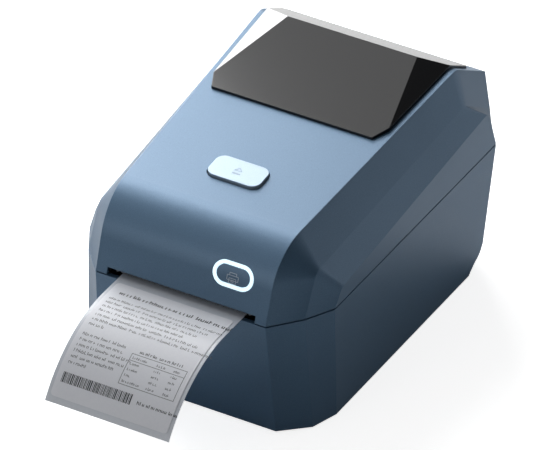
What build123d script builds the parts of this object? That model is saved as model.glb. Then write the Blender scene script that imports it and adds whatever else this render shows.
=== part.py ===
from build123d import *
import math
import os

# Thermal label printer. Millimetres, X to the right, Y towards the back, Z up.
# While modelling, Y = 0 is the front edge of the parting line and Z = 0 the underside of the base.

# ---------------------------------------------------------------- housing form
SPLIT = 66.0            # height of the parting line
SPLIT_GAP = 0.7         # open seam between lid and base
WALL = 2.4              # moulded wall
FLOOR = 4.0             # floor of the base
FRONT_HALF = 48.2       # half width of the front face at the parting line
RIDGE_SPREAD = 0.045    # the ridges move apart by this much per mm of depth
SHOULDER_HALF = 61.3    # half width at the shoulder lines
SHOULDER_SPREAD = 0.02
HALF_WIDTH = 70.0       # half width at the side faces
DEPTH = 207.0           # front edge to rear face at the parting line
REAR_ROUND = 14.0       # rounded rear edge of the underside

# Side profiles of the lid: (y, height over the parting line), front to rear.
RIDGE = [(0.0, 0.0), (12.3, 36.9), (178.0, 51.0), (DEPTH - 0.7, 34.0), (DEPTH, 0.0)]
SHOULDER = [(15.5, 0.0), (26.8, 21.7), (171.5, 35.9), (DEPTH - 9.6, 19.3), (DEPTH - 7.2, 0.0)]
SIDE = [(30.6, 0.0), (37.6, 8.7), (187.0, 24.1), (190.0, 16.4), (DEPTH - 11.2, 0.0)]
# Each rib: profile, nose radius, peak radius, half width, spread, share of the wall taken sideways.
RIBS = [
    (RIDGE, 30.0, 12.0, FRONT_HALF, RIDGE_SPREAD, 0.6),
    (SHOULDER, 6.0, 8.0, SHOULDER_HALF, SHOULDER_SPREAD, 0.6),
    (SIDE, 5.0, 4.0, HALF_WIDTH, 0.0, 1.0),
]
# How far each corner of the plan outline moves (x, y) from the parting line down to the desk.
FOOT_SHIFT = [(2.2, 6.4), (2.8, 3.2), (-0.7, 3.2), (-0.7, -13.8), (-0.3, -13.8), (0.0, -13.8)]

# ---------------------------------------------------------------- window panel
PANEL_FRONT = (46.0, 110.0, 46.6)    # half width, y and height of the front edge
PANEL_CORNER = (50.3, 119.5)         # where the cut corner meets the side strip
PANEL_PEAK = (37.2, 171.6, 56.0)     # half width, y and height where the centre face ends
PANEL_HIP = (178.0, 52.3)            # y and height of the rear outer corner of the side bevel
PANEL_REAR = 194.0
PANEL_THICKNESS = 2.4
PANEL_LEDGE = 3.0
STRIP = 3.6                          # painted strip between panel and ridge
FIT_GAP = 0.1                        # between pieces fitted into each other

# ---------------------------------------------------------------- opening button and latch
BUTTON_Y = 57.4
BUTTON_SIZE = (29.5, 16.0)
BUTTON_CORNER = 5.0
BUTTON_PROUD = 1.5
BUTTON_GAP = 0.6
BUTTON_TRAVEL = BUTTON_PROUD + 0.3   # pressed until it lies just under the lid's surface
LATCH_Y = 30.0
LATCH_Z = SPLIT + 20.0
LATCH_SHAFT = 2.0
HOOK_X = 52.5
HOOK_WIDTH = 3.0
KEEPER = (31.0, SPLIT - 5.0)
KEEPER_RADIUS = 1.5

# ---------------------------------------------------------------- lit button
RING_X = 26.3
RING_HEIGHT = 19.5                   # over the parting line
RING_SIZE = (22.8, 13.3)
RING_BAND = 1.9
RING_LEAN = 22.0                     # the button presses along this slope
FEED_GAP = 0.25
FEED_TRAVEL = 0.8
FEED_BACK = -6.0                     # rear of the button, behind the face
FEED_BOARD = (-9.6, -8.2)            # switch board behind the face

# ---------------------------------------------------------------- paper path
SLOT_WIDTH = 84.0
SLOT_HEIGHT = 4.0
LINER_WIDTH = 70.0
LINER_THICKNESS = 0.3
LABEL_WIDTH = 66.0
LABEL_THICKNESS = 0.2
LABEL_CORNER = 2.0
LABEL_STRAIGHT = 16.0                # straight run out of the slot
LABEL_CURL = 66.0                    # radius of the curl below it
LABEL_TURN = 56.3                    # angle of the curl
LABEL_START = -4.0                   # y of the label's upper edge, outside the slot
LABEL_BORDER = 3.4                   # bare liner beyond the label
PLATEN = (18.0, SPLIT - 6.5)         # y, z of the platen axis
PLATEN_RADIUS = 7.0
PLATEN_HALF = 40.0
SHAFT_RADIUS = 2.5
WEB_GAP = 0.05
WEB_BOTTOM = PLATEN[1] + PLATEN_RADIUS + WEB_GAP
ROLL = (115.0, 60.0)                 # y, z of the roll axis
ROLL_RADIUS = 40.0
CORE_BORE = 12.7
CORE_WALL = 1.3
RUNNING = 0.08                       # radial clearance of a turning fit
LOOSE = 0.4                          # clearance between moving pieces

# ---------------------------------------------------------------- printing frame and drive
FRAME_HALF = 45.0
PLATE = 2.0
FRAME_Y = (9.0, 48.0)
FRAME_Z = (12.0, SPLIT - 2.0)
BEARING_RADIUS = 5.0
GEAR_WIDTH = 4.0
GEAR_MODULE = 0.75
PLATEN_TEETH = 24
IDLER_TEETH = 30
PINION_TEETH = 12
IDLER_PIN = 2.0
IDLER_ANGLE = -38.0                  # from the platen axis to the idler axis
MOTOR_ANGLE = -110.0                 # from the idler axis to the motor axis
MOTOR_RADIUS = 14.0
MOTOR_LENGTH = 22.0
MOTOR_FLANGE = 1.2
MOTOR_SHAFT = 1.5
BACKLASH = 0.16
FRAME_SCREWS = (38.0, (16.0, 42.0))  # x and both y of the screws

# ---------------------------------------------------------------- paper bay and roll guides
BAY_X = 58.0
BAY_Y = (66.0, 166.0)
BAY_Z = (13.5, SPLIT - 4.0)
BAY_WALL = 1.5
BAY_SCREWS = (53.0, (72.0, 160.0))
GUIDE_THICKNESS = 2.5
GUIDE_RADIUS = 26.0
GUIDE_TRAVEL = 6.0
HUB_LENGTH = 8.0
RACK_MODULE = 1.0
RACK_TEETH = 12                      # teeth of the guide pinion
RACK_HEIGHT = 3.0
RACK_BACK = 5.0                      # from the pitch line to the plain side of a rack
RACK_REACH = GUIDE_TRAVEL + 8.0      # how far a rack passes the middle, still 8 mm at the widest
RACK_Z = (BAY_Z[0] + BAY_WALL + 0.3, BAY_Z[0] + BAY_WALL + 0.3 + RACK_HEIGHT)
RACK_RADIUS = RACK_MODULE * RACK_TEETH / 2
GUIDE_PIN = 2.0

# ---------------------------------------------------------------- lid frame and print head
LID_PLATE_Z = (SPLIT + 12.0, SPLIT + 14.0)
LID_PLATE_Y = (13.0, 42.0)
LID_PLATE_HALF = 50.0
HEAD_Y = (8.0, 21.0)
HEAD_HALF = 39.0
HEAD_HEIGHT = 5.5
HEAD_FLOAT = 1.0
STRIP_HEIGHT = 1.4
HEAD_BOTTOM = WEB_BOTTOM + LINER_THICKNESS + 0.2
HEAD_TOP = HEAD_BOTTOM + STRIP_HEIGHT + HEAD_HEIGHT
HEAD_POST = (25.0, HEAD_Y[1] - 3.5)  # x and y of the guide posts
GUIDE_POST = 1.5                     # their radius
SPRING_WIRE = 0.6

# ---------------------------------------------------------------- hinge
HINGE = (DEPTH - 4.0, SPLIT - 5.0)
HINGE_PIN = 1.5
BARREL = 3.6
LID_BARREL_X = (28.0, 44.0)
BASE_BARREL = 5.0                    # length of each base knuckle
HINGE_SWEEP = 5.05                   # everything on the base behind the pin stays within this radius

# ---------------------------------------------------------------- bottom, boards and ports
BOTTOM_HALF = 50.0
BOTTOM_Y = (48.0, 170.0)
BOTTOM_THICKNESS = 2.0
BOTTOM_LEDGE = 6.0
FOOT_RADIUS = 6.0
FOOT_STAND = 1.2
FOOT_POCKET = 0.8
FEET = (58.0, (36.0, 168.0))           # x and both y
BOARD_Z = 8.0
BOARD_THICKNESS = 1.6
BOARD_HALF = 42.0
BOARD_Y = (118.0, 186.0)
BOARD_PARTS = [                        # (x, y) and (width, depth, height) of each
    ((-14, 130), (14, 14, 1.4)),
    ((8, 128), (8, 6, 1.2)),
    ((8, 140), (10, 8, 2.4)),
    ((-34, 138), (12, 8, 3.0)),
    ((24, 128), (6, 20, 2.6)),
]
PORT_BOTTOM = BOARD_Z + BOARD_THICKNESS
USB = (6.0, 12.0, 11.0)              # x, width and height
JACK = (30.0, 9.0, 11.0)
SWITCH = (-34.0, 22.0)               # x, z of the rocker
SWITCH_SIZE = (15.0, 11.0)
SWITCH_DEPTH = 12.0
SWITCH_CORNER = 0.4
ROCKER_PIVOT = (0.8, -2.0)           # stub radius and depth below the wall face
ROCKER_SIZE = (12.0, 7.0)
BOARD_FRONT_SCREWS = (BOARD_HALF - 6, 124.0)
BOARD_REAR_SCREWS = (BOARD_HALF - 4, 178.0)
SCREW_RADIUS = 1.5
SCREW_HOLE = SCREW_RADIUS + FIT_GAP
SCREW_HEAD = (2.6, 1.3)              # radius and height
SCREW_SUNK = SCREW_HEAD[1] + 0.1     # depth of the head pockets of the bottom plate
BOSS = 3.2


# ================================================================ helper shapes
def block(x, y, z):
    """Box between the (low, high) limits along each axis."""
    sizes = [limits[1] - limits[0] for limits in (x, y, z)]
    middle = [(limits[0] + limits[1]) / 2 for limits in (x, y, z)]
    return Pos(*middle) * Box(*sizes)


def span(width):
    """(low, high) limits of a width about the middle."""
    return (-width / 2, width / 2)


def bar(radius, x, y, z):
    """Round bar along X between the (low, high) limits x."""
    return Pos((x[0] + x[1]) / 2, y, z) * Rot(0, 90, 0) * Cylinder(radius, x[1] - x[0])


def post(radius, x, y, z):
    """Round post along Z between the (low, high) limits z."""
    return Pos(x, y, (z[0] + z[1]) / 2) * Cylinder(radius, z[1] - z[0])


def both(solid):
    """The solid with its mirror image on the other side of the middle."""
    return solid + mirror(solid, about=Plane.YZ)


def side_shape(points, x):
    """Polygon in (y, z), extruded along X between the (low, high) limits x."""
    face = Plane.YZ.offset(x[0]) * make_face(Polyline(*points, close=True))
    return extrude(face, x[1] - x[0], dir=(1, 0, 0))


def slab(width, height, corner, z):
    """Upright rounded block on the local origin between the (low, high) limits z."""
    return Pos(0, 0, z[0]) * extrude(RectangleRounded(width, height, corner), z[1] - z[0])


def screw(x, y, head_z, length, up=True):
    """Pan-head screw whose head rests at head_z and whose shank runs up or down."""
    sign = 1 if up else -1
    head = (head_z - sign * SCREW_HEAD[1], head_z)
    shank = (head_z, head_z + sign * length)
    return post(SCREW_HEAD[0], x, y, sorted(head)) + post(SCREW_RADIUS, x, y, sorted(shank))


def corners(x, depths):
    """(x, y) of four places on both sides of the middle."""
    return [(side * x, y) for side in (-1, 1) for y in depths]


def group(pieces):
    """Several separate pieces as one node."""
    return Compound([solid for piece in pieces for solid in piece.solids()])


def coil(radius, wire, turns, x, y, z):
    """Compression spring standing along Z between the (low, high) limits z."""
    height = z[1] - z[0] - 2 * wire
    path = Helix(height / turns, height, radius)
    section = Plane(path @ 0, z_dir=path % 0) * Circle(wire)
    return Pos(x, y, z[0] + wire) * sweep(section, path=path)


# ================================================================ housing form
def carried(end, inner, level):
    """The end of a profile line, carried along it to another height."""
    lean = (inner[0] - end[0]) / (inner[1] - end[1])
    return (end[0] + lean * (level - end[1]), level)


def lid_section(rib, side, inset, level):
    """One side profile of the lid, standing where that rib or its mirror image stands."""
    profile, nose, peak, half, spread, share = rib
    front = carried(profile[0], profile[1], level)
    rear = carried(profile[-1], profile[-2], level)
    outline = FilletPolyline(front, *profile[1:-1], rear, radius=[0, nose, peak, 0, 0], close=True)
    face = make_face(outline)
    if inset:
        face = offset(face, -inset, kind=Kind.INTERSECTION)
    place = Plane(
        origin=(side * (half - share * inset), 0, SPLIT),
        x_dir=(side * spread, 1, 0),
        z_dir=(1, -side * spread, 0),
    )
    return place * face


def lid_form(inset=0.0, level=0.0):
    """Faceted solid of the lid, moved in by inset and cut off at a height over the parting line."""
    left = [lid_section(rib, -1, inset, level) for rib in reversed(RIBS)]
    right = [lid_section(rib, 1, inset, level) for rib in RIBS]
    return loft(left + right, ruled=True)


def seam_points():
    """Right half of the plan outline at the parting line, front to rear."""
    front = [(half + spread * profile[0][0], profile[0][0]) for profile, _, _, half, spread, _ in RIBS]
    rear = [(half + spread * profile[-1][0], profile[-1][0]) for profile, _, _, half, spread, _ in RIBS]
    return front + rear[::-1]


def plan(points, height, inset):
    """Whole plan outline from its right half, as a face."""
    loop = points + [(-x, y) for x, y in reversed(points)]
    face = make_face(Polyline(*loop, close=True))
    if inset:
        face = offset(face, -inset, kind=Kind.INTERSECTION)
    return Pos(0, 0, height) * face


def base_form(inset=0.0):
    """Solid of the base up to the parting line, moved in by inset, with its rounded rear edge."""
    seam = seam_points()
    foot = [(x + dx, y + dy) for (x, y), (dx, dy) in zip(seam, FOOT_SHIFT)]
    body = loft([plan(foot, 0, inset), plan(seam, SPLIT, inset)], ruled=True)
    lowest = body.edges().group_by(Axis.Z)[0]
    rear = [edge for edge in lowest if edge.center().Y > foot[3][1]]
    return fillet(rear, REAR_ROUND - inset)


def ridge_half(y):
    """Half width between the ridges at a depth."""
    return FRONT_HALF + RIDGE_SPREAD * y


def top_height(y):
    """Height of the flat top of the lid at a depth, in front of the peak."""
    (y0, z0), (y1, z1) = RIDGE[1:3]
    return SPLIT + z0 + (z1 - z0) * (y - y0) / (y1 - y0)


def rear_y(z):
    """Depth of the rear face of the base at a height."""
    return DEPTH + FOOT_SHIFT[-1][1] * (1 - z / SPLIT)


# ================================================================ window panel
def panel_plan(inset):
    """Plan outline of the window opening, moved in by inset."""
    half, front, _ = PANEL_FRONT
    corner_x, corner_y = PANEL_CORNER
    rear_half = ridge_half(PANEL_REAR) - STRIP
    points = [(half, front), (corner_x, corner_y), (rear_half, PANEL_REAR)]
    loop = points + [(-x, y) for x, y in reversed(points)]
    return make_face(offset(Polyline(*loop, close=True), -inset, kind=Kind.INTERSECTION))


def panel_roof(inset, drop):
    """Hipped solid under the four outer faces of the window, lowered by drop."""
    front_y, front_z = PANEL_FRONT[1], PANEL_FRONT[2]
    half, peak_y, peak_z = PANEL_PEAK
    hip_y, hip_z = PANEL_HIP
    rise = (peak_z - front_z) / (peak_y - front_y)
    fall = (peak_z - hip_z) / (hip_y - peak_y)
    start, end, floor = front_y - 10, PANEL_REAR + 10, 20.0
    ridge = [(start, floor), (start, front_z - 10 * rise), (peak_y, peak_z)]
    ridge += [(end, peak_z - fall * (end - peak_y)), (end, floor)]
    roof = Pos(0, 0, SPLIT) * side_shape(ridge, (-HALF_WIDTH, HALF_WIDTH))
    corner_x, corner_y = PANEL_CORNER
    corner = Vector(corner_x, corner_y, front_z + rise * (corner_y - front_y))
    peak = Vector(half, peak_y, peak_z)
    hip = Vector(ridge_half(hip_y) - STRIP, hip_y, hip_z)
    normal = (hip - corner).cross(peak - corner)
    bevel = Plane(origin=corner + Vector(0, 0, SPLIT), z_dir=normal)
    for _ in ("right", "left"):
        roof = mirror(split(roof, bisect_by=bevel, keep=Keep.BOTTOM), about=Plane.YZ)
    column = extrude(panel_plan(inset), SPLIT * 2)
    return (Pos(0, 0, -drop) * roof) & column


def window_panel():
    """Folded glossy window of even thickness, a hair smaller than its opening."""
    return panel_roof(FIT_GAP, 0) - panel_roof(0, PANEL_THICKNESS)


# ================================================================ lit button on the front face
def face_plane():
    """Local frame of the lit button: X to the right, Y up the face, Z out of it."""
    lean = RIDGE[1][0] / RIDGE[1][1]
    tilt = math.radians(RING_LEAN)
    origin = (RING_X, lean * RING_HEIGHT, SPLIT + RING_HEIGHT)
    return Plane(origin=origin, x_dir=(1, 0, 0), z_dir=(0, -math.cos(tilt), math.sin(tilt)))


def stadium(size, grow, z):
    """Round-ended block on the local origin, grown all round, between the (low, high) limits z."""
    width, height = size[0] + 2 * grow, size[1] + 2 * grow
    return slab(width, height, height / 2 - 0.01, z)


def light_ring(form):
    """Lit ring that follows the face of the lid."""
    whole = stadium(RING_SIZE, 0, (-WALL - 0.6, 10))
    hole = stadium(RING_SIZE, -RING_BAND, (-WALL - 5, 11))
    return (face_plane().location * (whole - hole)) & form


def feed_button(form):
    """Button inside the ring, with a wider flange behind the face."""
    cap = stadium(RING_SIZE, -RING_BAND - FEED_GAP, (FEED_BACK, 10))
    flange = stadium(RING_SIZE, -0.8, (FEED_BACK, FEED_BACK + 1.4))
    return (face_plane().location * (cap + flange)) & form


def feed_switch():
    """Small board behind the button, with its push switch."""
    board = block((-12, 12), (-4.5, 11.5), FEED_BOARD)
    key = FEED_BACK - FEED_TRAVEL - 0.1
    switch = block((-3, 3), (-3, 3), (FEED_BOARD[1], key - 0.4)) + post(1.6, 0, 0, (key - 0.4, key))
    return face_plane().location * (board + switch)


def feed_standoffs():
    """Bosses on the inside of the lid that carry the switch board."""
    pair = both(post(1.6, 9.0, 9.3, (FEED_BOARD[1], 4)))
    return face_plane().location * pair


# ================================================================ lid
def button_block(grow, z):
    """Upright rounded block where the opening button sits."""
    width, depth = BUTTON_SIZE
    shape = slab(width + 2 * grow, depth + 2 * grow, BUTTON_CORNER + grow, z)
    return Pos(0, BUTTON_Y, 0) * shape


def lid_bosses():
    """Where the lid frame is screwed on: (x, y) of each boss."""
    return corners(LID_PLATE_HALF - 6, (LID_PLATE_Y[0] + 8, LID_PLATE_Y[1] - 4))


def lid_barrels():
    """Knuckles of the lid around the hinge pins, each with the arm that carries it."""
    y, z = HINGE
    arm = block(LID_BARREL_X, (y - 2.2, y + BARREL - 0.2), (z, SPLIT + 5))
    knuckle = bar(BARREL, LID_BARREL_X, y, z) + arm
    return both(knuckle - bar(HINGE_PIN + RUNNING, (0, HALF_WIDTH), y, z))


def lid_housing(form):
    """Faceted lid shell with its window opening, button holes, slot, bosses and hinge arms."""
    shell = form - lid_form(WALL, -2 * WALL - 2)
    posts = feed_standoffs()
    for x, y in lid_bosses():
        posts += post(BOSS, x, y, (LID_PLATE_Z[1], SPLIT * 2))
    shell += posts & form
    for x, y in lid_bosses():
        shell -= post(SCREW_RADIUS, x, y, (LID_PLATE_Z[1] - 1, LID_PLATE_Z[1] + 9))
    shell -= panel_roof(0, 0) - panel_roof(0, PANEL_THICKNESS)
    shell -= extrude(panel_plan(PANEL_LEDGE), SPLIT * 3)
    above = extrude(panel_plan(0), SPLIT * 3)
    shell -= above - panel_roof(-1, 0)
    shell -= button_block(BUTTON_GAP, (SPLIT, SPLIT * 3))
    shell -= face_plane().location * stadium(RING_SIZE, FIT_GAP, (-8, 10))
    slot = (-SLOT_WIDTH / 2, SLOT_WIDTH / 2)
    shell -= block(slot, (-2, 5.5), (SPLIT - 1, SPLIT + SLOT_HEIGHT))
    return shell + lid_barrels()


def open_button(form):
    """Opening button: a cap proud of the lid, a flange under it and a stem onto the latch."""
    low = top_height(BUTTON_Y) - 5.4
    cap = button_block(0, (low, SPLIT * 2)) & (Pos(0, 0, BUTTON_PROUD) * form)
    flange = button_block(1.6, (low - 1, low + 1))
    stem = post(3.5, 0, BUTTON_Y, (LATCH_Z + 11.3, low))
    return cap + flange + stem


def tear_bar():
    """Serrated plate behind the slot, along the inside of the front wall."""
    lean = math.atan2(RIDGE[1][0], RIDGE[1][1])
    x = SLOT_WIDTH / 2 + 2
    pitch = 3.0
    count = int((SLOT_WIDTH - 4) / pitch)
    edge, tip, top = 3.4, 2.5, 11.0
    teeth = [(-x, top), (-x, edge)]
    for index in range(count):
        left = (index - count / 2) * pitch
        teeth += [(left, edge), (left + pitch / 2, tip)]
    teeth += [(count / 2 * pitch, edge), (x, edge), (x, top)]
    blade = extrude(make_face(Polyline(*teeth, close=True)), 1.0)
    place = Plane(
        origin=(0, 0, SPLIT),
        x_dir=(1, 0, 0),
        z_dir=(0, -math.cos(lean), math.sin(lean)),
    )
    return place.location * (Pos(0, 0, -WALL - 1.0 - FIT_GAP) * blade)


def lid_frame():
    """Metal plate under the nose of the lid, with cheeks for the latch shaft."""
    x = (-LID_PLATE_HALF, LID_PLATE_HALF)
    plate = block(x, LID_PLATE_Y, LID_PLATE_Z)
    plate -= block((RING_X - 14, RING_X + 15), (0, LID_PLATE_Y[0] + 5), LID_PLATE_Z)
    cheek_x = (LID_PLATE_HALF - PLATE, LID_PLATE_HALF)
    cheek = block(cheek_x, (LATCH_Y - 6, LATCH_Y + 6), (LID_PLATE_Z[0], LATCH_Z + 5))
    frame = plate + both(cheek)
    frame -= bar(LATCH_SHAFT + RUNNING, (-HALF_WIDTH, HALF_WIDTH), LATCH_Y, LATCH_Z)
    for x, y in lid_bosses():
        frame -= post(SCREW_HOLE, x, y, (SPLIT, SPLIT * 2))
    return frame - both(post(GUIDE_POST + RUNNING, *HEAD_POST, (SPLIT, SPLIT * 2)))


def lid_frame_screws():
    """Four screws that hold the frame to the bosses of the lid."""
    screws = [screw(x, y, LID_PLATE_Z[0], 8) for x, y in lid_bosses()]
    return group(screws)


def latch_bar():
    """Shaft across the lid with a hook at each end and a lever under the opening button."""
    reach = HOOK_X + HOOK_WIDTH / 2
    shaft = bar(LATCH_SHAFT, (-reach - 1, reach + 1), LATCH_Y, LATCH_Z)
    front = KEEPER[0] - KEEPER_RADIUS - LOOSE
    arm = [(LATCH_Y - 3.6, LATCH_Z), (front - 3.6, KEEPER[1] - 4.6), (front, KEEPER[1] - 4.6)]
    arm += [(front, KEEPER[1] - 2.6), (front - 0.9, KEEPER[1] - 1.8), (LATCH_Y, LATCH_Z)]
    hook_x = (HOOK_X - HOOK_WIDTH / 2, HOOK_X + HOOK_WIDTH / 2)
    hook = side_shape(arm, hook_x) + bar(4.0, hook_x, LATCH_Y, LATCH_Z)
    top = LATCH_Z + 11.0
    lever = [(LATCH_Y, LATCH_Z - 2.5), (BUTTON_Y + 4, top - 3), (BUTTON_Y + 4, top)]
    lever += [(BUTTON_Y - 5, top), (LATCH_Y, LATCH_Z + 2.5)]
    tab = side_shape(lever, (-6, 6)) + bar(4.0, (-6, 6), LATCH_Y, LATCH_Z)
    return shaft + both(hook) + tab


def latch_spring():
    """Torsion spring on the latch shaft, one leg on the plate and one under the lever."""
    turns, wire, radius = 3, 0.5, LATCH_SHAFT + 1.1
    path = Helix(1.3, turns * 1.3, radius)
    wound = sweep(Plane(path @ 0, z_dir=path % 0) * Circle(wire), path=path)
    wound = Pos(8, LATCH_Y, LATCH_Z) * Rot(0, 90, 0) * wound
    low, front = LID_PLATE_Z[1] + 0.1, LATCH_Y - radius
    foot = block((8, 9), (front - 9, front + 0.4), (low, low + 0.9))
    leg = block((8, 9), (front - 0.5, front + 0.4), (low, LATCH_Z))
    return wound + foot + leg


# ================================================================ print head
def print_head():
    """Finned heat sink with two guide posts that slide in the lid frame."""
    x = (-HEAD_HALF, HEAD_HALF)
    body = block(x, HEAD_Y, (HEAD_BOTTOM + STRIP_HEIGHT, HEAD_TOP))
    groove = 1.6
    for index in range(2):
        y = HEAD_Y[0] + 2.0 + index * 3.4
        body -= block(x, (y, y + groove), (HEAD_TOP - 3, HEAD_TOP))
    pin = post(GUIDE_POST, *HEAD_POST, (HEAD_TOP, LID_PLATE_Z[1] + HEAD_FLOAT + 1))
    return body + both(pin)


def head_strip():
    """Ceramic strip that presses the label onto the platen."""
    x = (-HEAD_HALF + 1, HEAD_HALF - 1)
    return block(x, (HEAD_Y[0] + 2, PLATEN[0] + 0.4), (HEAD_BOTTOM, HEAD_BOTTOM + STRIP_HEIGHT))


def head_spring(side):
    """Spring round one guide post, between the heat sink and the lid frame."""
    gap = (HEAD_TOP + 0.05, LID_PLATE_Z[0] - 0.05)
    return coil(GUIDE_POST + 1.2, SPRING_WIRE / 2, 3, side * HEAD_POST[0], HEAD_POST[1], gap)


# ================================================================ base
def base_barrels():
    """Knuckles of the base on both sides of each lid knuckle."""
    y, z = HINGE
    gap = LOOSE
    inner = (LID_BARREL_X[0] - gap - BASE_BARREL, LID_BARREL_X[0] - gap)
    outer = (LID_BARREL_X[1] + gap, LID_BARREL_X[1] + gap + BASE_BARREL)
    knuckles = bar(BARREL, inner, y, z) + bar(BARREL, outer, y, z)
    for x in (inner, outer):
        knuckles += block(x, (y - 1.5, rear_y(z) - 1), (z - 8, z))
    return both(knuckles)


def rear_relief():
    """Room behind the hinge pins for the lid's rear edge and its arms."""
    y, z = HINGE
    x = (-HALF_WIDTH - 1, HALF_WIDTH + 1)
    corner = block(x, (y, DEPTH + 5), (z, SPLIT + 1)) - bar(HINGE_SWEEP, x, y, z)
    arms = (LID_BARREL_X[0] - LOOSE, LID_BARREL_X[1] + LOOSE)
    pockets = both(block(arms, (y - BARREL - 2, DEPTH + 5), (z - BARREL - LOOSE, SPLIT + 1)))
    return corner + pockets


def base_posts():
    """Bosses on the floor of the base: (x, y, height) of each."""
    frame = [(x, y, FRAME_Z[0]) for x, y in corners(*FRAME_SCREWS)]
    bay = [(x, y, BAY_Z[0]) for x, y in corners(*BAY_SCREWS)]
    board_x, board_y = BOARD_REAR_SCREWS
    return frame + bay + [(side * board_x, board_y, BOARD_Z) for side in (-1, 1)]


def base_housing():
    """Base tub with its posts, hinge knuckles, bottom opening and rear port openings."""
    form = base_form()
    tub = form - Pos(0, 0, FLOOR) * base_form(WALL)
    tub -= block((-HALF_WIDTH, HALF_WIDTH), (-1, DEPTH + 1), (SPLIT - SPLIT_GAP / 2, SPLIT + 1))
    for x, y, height in base_posts():
        tub += post(BOSS, x, y, (FLOOR, height))
    for x, y, height in base_posts():
        tub -= post(SCREW_HOLE, x, y, (1.2, height + 1))
    tub += base_barrels()
    tub -= rear_relief()
    y, z = HINGE
    tub -= both(bar(HINGE_PIN + RUNNING, (LID_BARREL_X[0] - 6, LID_BARREL_X[1] + 6), y, z))
    tub -= bottom_outline(0, (-1, BOTTOM_THICKNESS))
    tub -= bottom_outline(BOTTOM_LEDGE, (-1, FLOOR + 1))
    for x, y in bottom_screw_places():
        tub -= post(SCREW_HOLE, x, y, (0, FLOOR + 1))
    for x, y in corners(*FEET):
        tub -= post(FOOT_RADIUS + FIT_GAP, x, y, (-1, FOOT_POCKET))
    tub -= port_block(USB, FIT_GAP, 30) + port_block(JACK, FIT_GAP, 30)
    width, height = SWITCH_SIZE
    opening = slab(width + 2 * FIT_GAP, height + 2 * FIT_GAP, SWITCH_CORNER, (-SWITCH_DEPTH, SWITCH_DEPTH))
    return tub - rear_plane().location * opening


def bottom_outline(inset, z):
    """Plate-shaped block of the bottom opening, moved in by inset."""
    half = BOTTOM_HALF - inset
    return block((-half, half), (BOTTOM_Y[0] + inset, BOTTOM_Y[1] - inset), z)


def bottom_screw_places():
    """(x, y) of the screws of the bottom plate."""
    return corners(BOTTOM_HALF - BOTTOM_LEDGE / 2, (BOTTOM_Y[0] + 20, BOTTOM_Y[1] - 20))


def bottom_plate():
    """Service plate set flush into the underside, with a plug that fills the opening."""
    plate = bottom_outline(FIT_GAP, (0, BOTTOM_THICKNESS))
    plate += bottom_outline(BOTTOM_LEDGE + FIT_GAP, (0, FLOOR))
    plate += both(post(BOSS, *BOARD_FRONT_SCREWS, (FLOOR, BOARD_Z)))
    plate -= both(post(SCREW_RADIUS, *BOARD_FRONT_SCREWS, (FLOOR - 1, BOARD_Z + 1)))
    for x, y in bottom_screw_places():
        plate -= post(SCREW_HOLE, x, y, (-1, BOTTOM_THICKNESS + 1))
        plate -= post(SCREW_HEAD[0] + FIT_GAP, x, y, (-1, SCREW_SUNK))
    return plate


def bottom_screws():
    """Screws of the bottom plate, heads sunk into it."""
    screws = [screw(x, y, SCREW_SUNK, FLOOR - 1.5) for x, y in bottom_screw_places()]
    return group(screws)


def rubber_feet():
    """Four round feet in shallow pockets."""
    feet = [post(FOOT_RADIUS, x, y, (-FOOT_STAND, FOOT_POCKET)) for x, y in corners(*FEET)]
    return group([fillet(foot.edges().group_by(Axis.Z)[0], 0.5) for foot in feet])


def hinge_pin(side):
    """Steel pin through one lid knuckle and its two base knuckles."""
    reach = LOOSE + BASE_BARREL - 0.5
    pin = bar(HINGE_PIN, (LID_BARREL_X[0] - reach, LID_BARREL_X[1] + reach), *HINGE)
    return pin if side > 0 else mirror(pin, about=Plane.YZ)


# ================================================================ gears
def involute(angle):
    """Involute function of a pressure angle in radians."""
    return math.tan(angle) - angle


def gear_face(teeth, module, phase):
    """Spur gear outline in the local plane, one tooth centred at the angle phase (degrees)."""
    pitch = module * teeth / 2
    base = pitch * math.cos(math.radians(20))
    root, tip = pitch - 1.2 * module, pitch + 0.9 * module
    half = math.pi / (2 * teeth) - BACKLASH / (2 * pitch)

    def half_angle(radius):
        if radius <= base:
            return half + involute(math.radians(20))
        return half + involute(math.radians(20)) - involute(math.acos(base / radius))

    points = []
    for index in range(teeth):
        middle = math.radians(phase) + 2 * math.pi * index / teeth
        flank = [(radius, half_angle(radius)) for radius in (root, pitch, tip)]
        left = [(radius, middle - angle) for radius, angle in flank]
        right = [(radius, middle + angle) for radius, angle in reversed(flank)]
        points += [(r * math.cos(a), r * math.sin(a)) for r, a in left + right]
    return make_face(Polyline(*points, close=True))


def pitch_radius(teeth):
    """Pitch radius of a gear of the drive train."""
    return GEAR_MODULE * teeth / 2


def mesh_phase(teeth, other, other_phase, direction):
    """Phase of a gear that meshes with another one standing in a direction from it (degrees)."""
    back = direction + 180
    offset = (other_phase - direction) * other / teeth
    return back - offset + 180 / teeth


def away(point, distance, angle):
    """Point at a distance and an angle (degrees) from another, in (y, z)."""
    turn = math.radians(angle)
    return (point[0] + distance * math.cos(turn), point[1] + distance * math.sin(turn))


IDLER = away(PLATEN, pitch_radius(PLATEN_TEETH) + pitch_radius(IDLER_TEETH), IDLER_ANGLE)
MOTOR = away(IDLER, pitch_radius(IDLER_TEETH) + pitch_radius(PINION_TEETH), MOTOR_ANGLE)
IDLER_PHASE = mesh_phase(IDLER_TEETH, PLATEN_TEETH, 0.0, IDLER_ANGLE)
PINION_PHASE = mesh_phase(PINION_TEETH, IDLER_TEETH, IDLER_PHASE, MOTOR_ANGLE)
GEAR_X = (-FRAME_HALF - 1.5 - GEAR_WIDTH, -FRAME_HALF - 1.5)


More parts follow.
